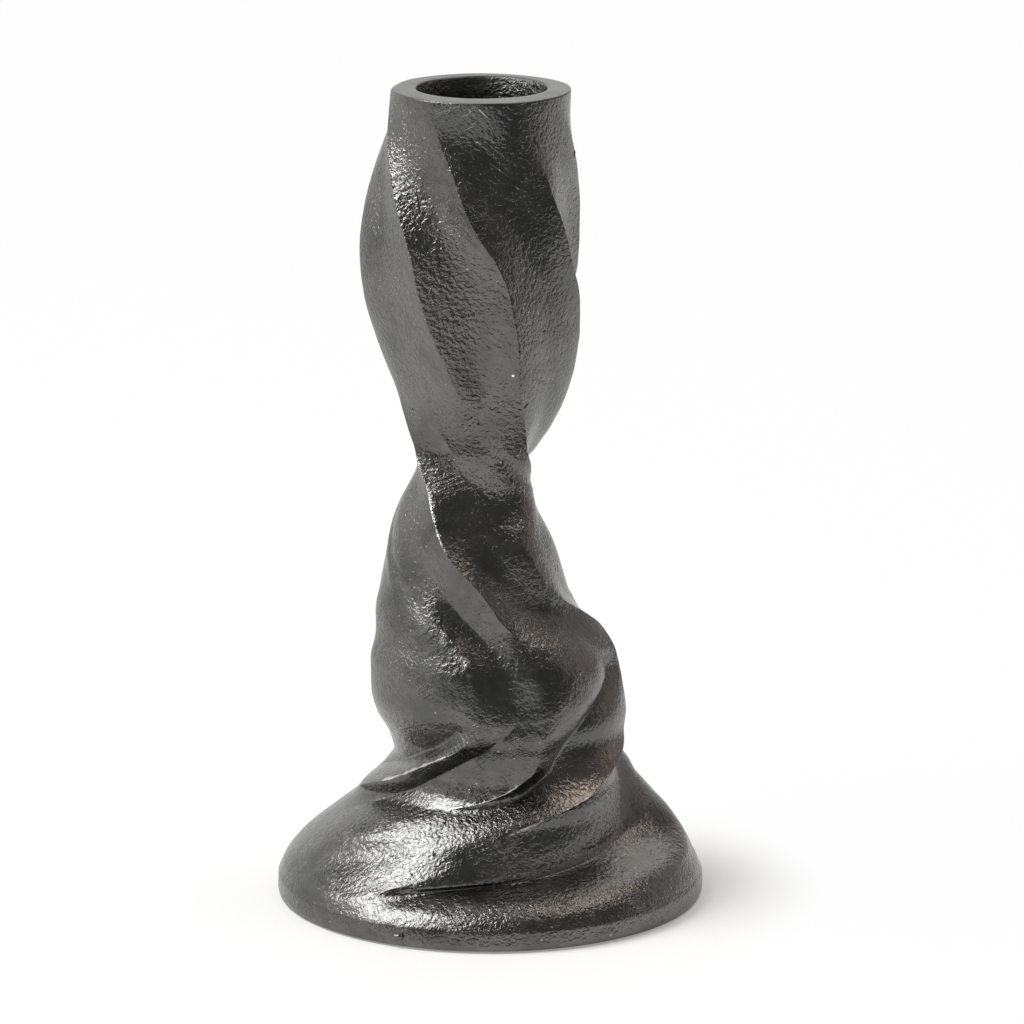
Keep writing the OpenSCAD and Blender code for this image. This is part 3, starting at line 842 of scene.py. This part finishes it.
        mouth = bored(self.bore_r + self.bore_break, self.height)
        rim += [rim[-1] * (1 - share) + mouth * share for share in self.mouth_shares]
        floor_z = self.height - self.bore_depth
        wall = [bored(self.bore_r + self.bore_break / 3, self.height - self.bore_break / 3)]
        wall += [bored(self.bore_r, z) for z in
                 np.linspace(self.height - self.bore_break, floor_z, self.wall_rows)]
        cone = [bored(self.bore_r * (1 - share), floor_z - self.bore_cone * share)
                for share in self.cone_shares]
        return np.array(under + list(stem) + rim + wall + cone)

    def wear_and_glint_at(self, column: int, z: float) -> float:
        """Tells how worn a vertex of the grid is, and so how much highlight is painted on it.

        Args:
            column: the vertex's column, counted from the first crest.
            z: its height.

        Returns:
            0 on the plain skin, up to 1 on a worn crest with its painted highlight.
        """
        share = (z - self.base) / (self.height - self.base)
        wear_and_glint = 0.0
        for edge in self.worn:
            away = (column - 2 * self.crest_steps * edge.crest + self.around // 2) % self.around
            away = abs(away - self.around // 2) / edge.columns
            along = (share - edge.low) / (edge.high - edge.low)
            if away < 1 and 0 < along < 1:
                rise = min(1.0, self.wear_and_glint_rise * along * (1 - along))
                wear_and_glint = max(wear_and_glint, edge.wear_and_glint * (1 - away) * rise)
        return wear_and_glint

    def skin(self) -> BMesh:
        """Wraps a grid onto the loops and closes its seam and poles.

        Returns:
            The closed skin, with its wear and painted crest highlight in a vertex layer.
        """
        loops = self.loops()
        count = len(loops)
        shell = bmesh.new()
        bmesh.ops.create_grid(shell, x_segments=self.around, y_segments=count - 1, size=1.0)
        wear_and_glint = shell.verts.layers.float.new(WEAR_AND_GLINT)
        for vert in shell.verts:
            column = round((vert.co.x + 1) / 2 * self.around) % self.around
            row = round((vert.co.y + 1) / 2 * (count - 1))
            vert.co = loops[row][column]
            vert[wear_and_glint] = self.wear_and_glint_at(column, vert.co.z)
        bmesh.ops.remove_doubles(shell, verts=shell.verts, dist=self.weld)
        bmesh.ops.recalc_face_normals(shell, faces=shell.faces)
        shell.normal_update()
        return shell

    def roughen(self, shell: BMesh) -> None:
        """Pushes the cast skin in and out a little, as sand moulding does.

        Args:
            shell: the casting's skin.
        """
        moves = []
        for vert in shell.verts:
            place = vert.co
            from_top = self.height - place.z
            from_axis = math.hypot(place.x + self.bore_left, place.y)
            on_end = place.z < self.base + self.near or from_top < self.near
            in_bore = (from_top < self.bore_depth + self.bore_cone
                       and from_axis < self.bore_r + self.near_bore)
            in_recess = (place.z < self.base + self.recess_depth + self.near
                         and math.hypot(place.x, place.y) < self.recess_r + self.near_recess)
            if on_end or in_bore or in_recess:
                continue
            fade = min(1.0, from_top / self.calm, (place.z - self.base) / self.calm)
            push = sum(high * noise.noise(place * pitch) for high, pitch in self.waves) * MM
            push *= self.rim_calm + (1 - self.rim_calm) * fade
            moves.append((vert, vert.normal * (push - self.skin_in)))
        for vert, move in moves:
            vert.co += move

    def lump(self, shell: BMesh, spot: Vector, turn: float, size: Triple) -> None:
        """Adds a small uneven lump of metal to the skin.

        Args:
            shell: the casting's skin.
            spot: middle of the lump.
            turn: angle from the front towards the right that it faces.
            size: half its width, depth and height.
        """
        made = bmesh.ops.create_icosphere(
            shell, subdivisions=3, radius=1.0,
            matrix=Matrix.Translation(spot) @ Matrix.Rotation(math.radians(turn), 4, "Z")
            @ Matrix.Diagonal((*size, 1)))
        for vert in made["verts"]:
            vert.co += (vert.co - spot) * self.lump_swell * noise.noise(vert.co * self.lump_pitch)

    def nubs(self, shell: BMesh) -> None:
        """Adds the casting nub on the foot's lip and the burr beside the rim.

        Args:
            shell: the casting's skin.
        """
        turn, reach = math.radians(self.nub_turn), self.foot_r - self.nub_in
        spot = Vector((reach * math.sin(turn), -reach * math.cos(turn), self.nub_up))
        self.lump(shell, spot, self.nub_turn, self.nub_size)
        self.lump(shell, Vector(self.burr_spot), self.burr_turn, self.burr_size)

    def zone_of(self, face: BMFace) -> Zone:
        """Tells which finish a face of the skin takes.

        Args:
            face: a face of the casting.

        Returns:
            Its zone.
        """
        middle = face.calc_center_median()
        from_axis = math.hypot(middle.x + self.bore_left, middle.y)
        bore_end = self.height - self.bore_depth - self.bore_cone
        recess_end = self.base + self.recess_depth + self.near
        if middle.z > self.height - self.near_zone and face.normal.z > self.faces_up:
            return Zone.MACHINED
        if from_axis < self.bore_r + self.near_zone and middle.z > bore_end:
            return Zone.BORE
        if face.normal.z < self.faces_down and middle.z < recess_end:
            return Zone.MACHINED
        return Zone.SKIN

    def build(self, finishes: dict[Zone, Material]) -> Object:
        """Builds and dresses the casting.

        Args:
            finishes: a material for each zone.

        Returns:
            The casting's object.
        """
        shell = self.skin()
        self.roughen(shell)
        self.nubs(shell)
        shell.normal_update()
        for face in shell.faces:
            face.smooth = True
            face.material_index = self.zone_of(face).value
        piece = to_object(shell, "cast_skin", *(finishes[zone] for zone in Zone))
        piece.data.set_sharp_from_angle(angle=math.radians(self.sharp_angle))
        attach(piece, "root")
        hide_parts("cast_body")
        return piece


@dataclass
class FeltPad:
    """The felt disc that the holder stands on."""

    radius: float = 35.3 * MM
    thick: float = 2.0 * MM
    edge: float = 0.35 * MM
    edge_steps: int = 3
    level: float = 0.01 * MM
    segments: int = 128
    sharp_angle: float = 50.0

    def build(self, finish: Material) -> Object:
        """Builds the disc with soft edges.

        Args:
            finish: the felt.

        Returns:
            The pad's object.
        """
        disc = bmesh.new()
        bmesh.ops.create_circle(disc, cap_ends=True, segments=self.segments, radius=self.radius)
        top = bmesh.ops.extrude_face_region(disc, geom=disc.faces[:])
        risen = [item for item in top["geom"] if isinstance(item, BMVert)]
        bmesh.ops.translate(disc, verts=risen, vec=(0, 0, self.thick))
        rims = [edge for edge in disc.edges
                if abs(edge.verts[0].co.z - edge.verts[1].co.z) < self.level]
        bmesh.ops.bevel(
            disc, geom=rims, offset=self.edge, offset_type="OFFSET", segments=self.edge_steps,
            profile=0.5, affect="EDGES", material=-1)
        bmesh.ops.recalc_face_normals(disc, faces=disc.faces)
        for face in disc.faces:
            face.smooth = True
        piece = to_object(disc, "felt_disc", finish)
        piece.data.set_sharp_from_angle(angle=math.radians(self.sharp_angle))
        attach(piece, "root")
        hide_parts("felt_pad")
        return piece


@dataclass
class AdhesiveFilm:
    """The film between felt and casting, which keeps its CAD solid."""

    node: str = "adhesive_film"

    def build(self, finish: Material) -> Object:
        """Dresses the film.

        Args:
            finish: the adhesive.

        Returns:
            The film's object.
        """
        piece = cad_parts[self.node]
        piece.data.materials.clear()
        piece.data.materials.append(finish)
        return piece


def to_object(mesh: BMesh, name: str, *finishes: Material) -> Object:
    """Turns a bmesh into an object of the scene.

    Args:
        mesh: the finished bmesh, which is freed.
        name: the object's name.
        *finishes: its materials, slot by slot.

    Returns:
        The new object.
    """
    data = bpy.data.meshes.new(name)
    mesh.to_mesh(data)
    mesh.free()
    for finish in finishes:
        data.materials.append(finish)
    return new_object(name, data)


def new_object(name: str, data: ID) -> Object:
    """Makes an object of a mesh, light or camera and links it to the scene."""
    made = bpy.data.objects.new(name, data)
    bpy.context.scene.collection.objects.link(made)
    return made


# The studio


@dataclass(frozen=True)
class SoftBox:
    """One rectangular soft light: where it hangs, what it lights, how much."""

    name: str
    spot: Triple
    aim: Triple
    size: Pair
    power: float
    colour: Triple = (1.0, 1.0, 1.0)

    def hang(self) -> None:
        """Hangs the light in the scene."""
        light = bpy.data.lights.new(self.name, "AREA")
        light.shape = "RECTANGLE"
        light.size, light.size_y = self.size
        light.energy = self.power
        light.color = self.colour
        lamp = new_object(self.name, light)
        lamp.location = self.spot
        way = Vector(self.aim) - Vector(self.spot)
        lamp.rotation_euler = way.to_track_quat("-Z", "Y").to_euler()
        lamp.visible_camera = False


@dataclass
class Studio:
    """White sweep, soft lights and the camera."""

    camera_back: float = 1120 * MM
    camera_up: float = 353 * MM
    look_down: float = 13.87
    focal: float = 208.8
    shift: float = 0.0215
    sensor: float = 36.0
    view_range: Pair = (0.05, 20.0)
    room: float = 0.17
    fade: Pair = (0.038, 0.068)
    blotch: float = 0.2
    swing: float = 0.01
    floor_z: float = -0.05 * MM
    floor_corners: tuple[tuple[Pair, ...], ...] = (
        ((-0.5, -1.9), (0.06, -0.42), (0.12, -0.1), (1.6, 0.35)),
        ((-1.9, 0.6), (-0.03, 0.6), (0.3, 0.7), (1.9, 0.9)),
        ((-1.9, 2.3), (-0.03, 2.3), (0.3, 2.3), (1.9, 2.3)))
    wall_middle: Triple = (-0.7, 1.5, 0.6)
    wall_size: Pair = (3.0, 1.4)
    boxes: tuple[SoftBox, ...] = (
        SoftBox("key_left", (-0.69, -0.17, 0.94), (0, 0, 0.05), (0.75, 0.65), 13.0),
        SoftBox("back_high", (0.17, 0.82, 1.05), (0, 0, 0.05), (0.6, 0.4), 1.5, (1.0, 0.9, 0.82)),
        SoftBox("wall_left", (-1.22, -0.1, 0.54), (0, 0, 0.1), (1.9, 0.9), 4.6),
        SoftBox("fill_right", (0.5, 0.08, 1.06), (0, 0, 0.04), (0.5, 0.5), 2.2, (1, 0.86, 0.77)),
        SoftBox("wall_right", (0.9, 0.5, 0.38), (0, 0, 0.05), (1.1, 0.55), 0.75, (1, 0.84, 0.74)),
    )

    def camera(self) -> None:
        """Sets the camera at the photograph's viewing angle."""
        lens = bpy.data.cameras.new("camera")
        lens.lens = self.focal
        lens.sensor_width = self.sensor
        lens.shift_x = self.shift
        lens.clip_start, lens.clip_end = self.view_range
        camera = new_object("camera", lens)
        camera.location = (0, -self.camera_back, self.camera_up)
        camera.rotation_euler = (math.radians(90 - self.look_down), 0, 0)
        bpy.context.scene.camera = camera

    def world(self) -> None:
        """Fills the room with a dim even light and a white view."""
        world = bpy.data.worlds.new("room")
        bpy.context.scene.world = world
        world.use_nodes = True
        world.node_tree.nodes.clear()
        board = NodeBoard(world.node_tree)
        camera_ray = board.add("ShaderNodeLightPath").outputs["Is Camera Ray"]
        dim, white = (
            board.add("ShaderNodeBackground", {"Color": colour}).outputs[0]
            for colour in ((self.room, self.room, self.room, 1), WHITE))
        seen = board.add("ShaderNodeMixShader", {0: camera_ray, 1: dim, 2: white})
        board.add("ShaderNodeOutputWorld", {"Surface": seen.outputs[0]})

    def white_paint(self, name: str, near: float, far: float, shade: float) -> Material:
        """Builds a white surface that keeps shadows and is clear from below.

        Args:
            name: the material's name.
            near: how much of the view is plain white beside the object,
                where the paint has to show the shadow.
            far: the same, away from the object.
            shade: the paint's grey.

        Returns:
            The material.
        """
        material, board = blank_material(name)
        place = board.add("ShaderNodeTexCoord").outputs["Object"]
        tone = board.ramp(
            board.noise(place, self.blotch), 0.3, 0.7, shade - self.swing, shade + self.swing)
        paint = board.add("ShaderNodeBsdfDiffuse", {"Color": tone}).outputs[0]
        white = board.add("ShaderNodeEmission", {"Color": WHITE}).outputs[0]
        clear = board.add("ShaderNodeBsdfTransparent", {"Color": WHITE}).outputs[0]
        rays = board.add("ShaderNodeLightPath").outputs
        behind = board.add("ShaderNodeNewGeometry").outputs["Backfacing"]
        seen = board.math("MAXIMUM", rays["Is Camera Ray"], rays["Is Glossy Ray"])
        seen = board.math("MAXIMUM", seen, rays["Is Transmission Ray"])
        away = board.add("ShaderNodeVectorMath", {0: place}, operation="LENGTH").outputs["Value"]
        share = board.math("MULTIPLY", seen, board.ramp(away, *self.fade, near, far))
        mixed = board.add("ShaderNodeMixShader", {0: share, 1: paint, 2: white}).outputs[0]
        below = board.math("MULTIPLY", behind, rays["Is Camera Ray"])
        surface = board.add("ShaderNodeMixShader", {0: below, 1: mixed, 2: clear}).outputs[0]
        board.add("ShaderNodeOutputMaterial", {"Surface": surface})
        return material

    def sweep(self) -> None:
        """Lays the floor and stands the backdrop behind it."""
        floor = bmesh.new()
        across, back = len(self.floor_corners[0]) - 1, len(self.floor_corners) - 1
        bmesh.ops.create_grid(floor, x_segments=across, y_segments=back, size=1.0)
        for vert in floor.verts:
            row = self.floor_corners[round((vert.co.y + 1) / 2 * back)]
            vert.co = (*row[round((vert.co.x + 1) / 2 * across)], self.floor_z)
        paint = self.white_paint("floor_white", near=0.25, far=0.97, shade=0.9)
        piece = to_object(floor, "floor", paint)
        wall = bmesh.new()
        bmesh.ops.create_grid(
            wall, x_segments=2, y_segments=2, size=0.5,
            matrix=Matrix.Translation(self.wall_middle)
            @ Matrix.Rotation(math.radians(90), 4, "X") @ Matrix.Diagonal((*self.wall_size, 1, 1)))
        paint = self.white_paint("backdrop_white", near=1.0, far=1.0, shade=0.86)
        piece = to_object(wall, "backdrop", paint)

    def build(self) -> None:
        """Sets up the whole studio."""
        self.camera()
        self.world()
        self.sweep()
        for box in self.boxes:
            box.hang()
        bpy.context.scene.view_settings.view_transform = "Standard"


def main() -> None:
    """Builds the holder and the studio."""
    logging.basicConfig(level=logging.INFO, format="%(name)s: %(message)s")
    Studio().build()
    effects = CastEffects()
    finishes = {
        Zone.SKIN: CastFinish("blackened_skin", spots=SKIN_MARKS).build(effects),
        Zone.MACHINED: CastFinish(
            "machined_rim", dark=(0.125, 0.125, 0.124, 1), light=(0.16, 0.16, 0.158, 1),
            roughness=0.34, coarse=0.06, fine=0.1, pits=0.25, marks=0.12).build(effects),
        Zone.BORE: CastFinish(
            "bore_wall", dark=(0.09, 0.09, 0.088, 1), light=(0.15, 0.15, 0.147, 1),
            roughness=0.38, coarse=1.2, fine=0.6).build(effects),
    }
    pieces = (
        Casting().build(finishes),
        FeltPad().build(FeltFinish().build()),
        AdhesiveFilm().build(AdhesiveFinish().build()),
    )
    for piece in pieces:
        log.info("%s: %d faces", piece.name, len(piece.data.polygons))


if __name__ == "__main__":
    main()
